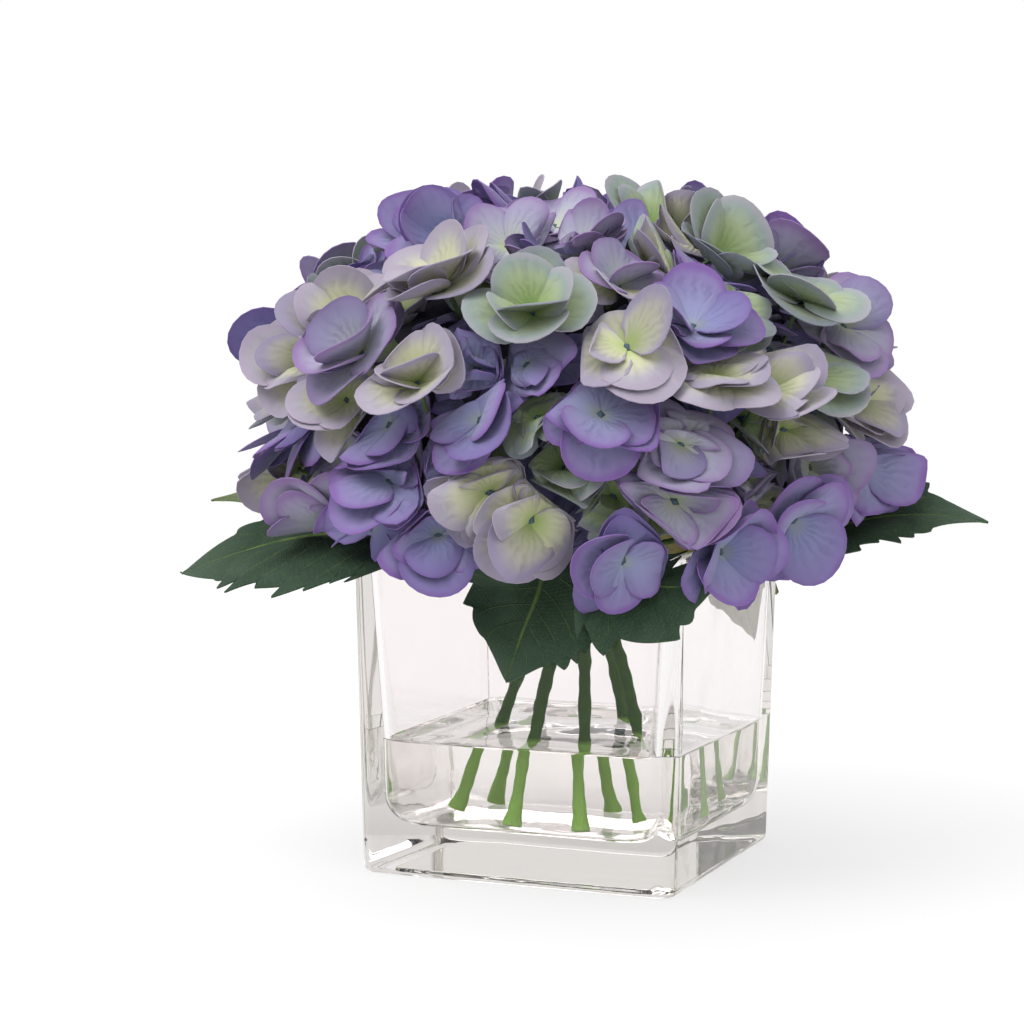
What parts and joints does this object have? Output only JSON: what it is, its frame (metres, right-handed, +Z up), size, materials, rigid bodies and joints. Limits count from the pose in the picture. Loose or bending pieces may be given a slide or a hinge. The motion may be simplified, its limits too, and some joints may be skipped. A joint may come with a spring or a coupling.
{
  "type": "hydrangea arrangement in glass vase",
  "caption": "Domed bunch of fabric hydrangeas with serrated leaves, its stems set in clear solid water in a square pressed-glass vase.",
  "frame": {"origin": "middle of the vase's underside, on the surface that it stands on", "axes": "+Z up; the vase's four sides face X and Y; the side that the picture shows faces between -Y and +X"},
  "size_m": [0.292, 0.2348, 0.2468],
  "materials": {
    "vase_glass": "clear pressed glass, smooth",
    "set_water": "clear cast resin that looks like water, smooth",
    "stem": "ribbed, satin green",
    "leaf": "printed polyester with raised veins, matt",
    "petal": "polyester dyed from violet through pale cream to green, matt"
  },
  "bodies": {
    "root": {"vase": "vase_glass", "water": "set_water", "stem_front": "stem", "stem_right": "stem", "stem_back": "stem", "stem_back_left": "stem", "stem_left": "stem", "stem_top": "stem", "leaf_left": "leaf", "leaf_front": "leaf", "leaf_front_right": "leaf", "leaf_right": "leaf", "leaf_back_right": "leaf", "leaf_back_left": "leaf", "head_front": "petal", "head_right": "petal", "head_back": "petal", "head_back_left": "petal", "head_left": "petal", "head_top": "petal"}
  },
  "joints": []
}
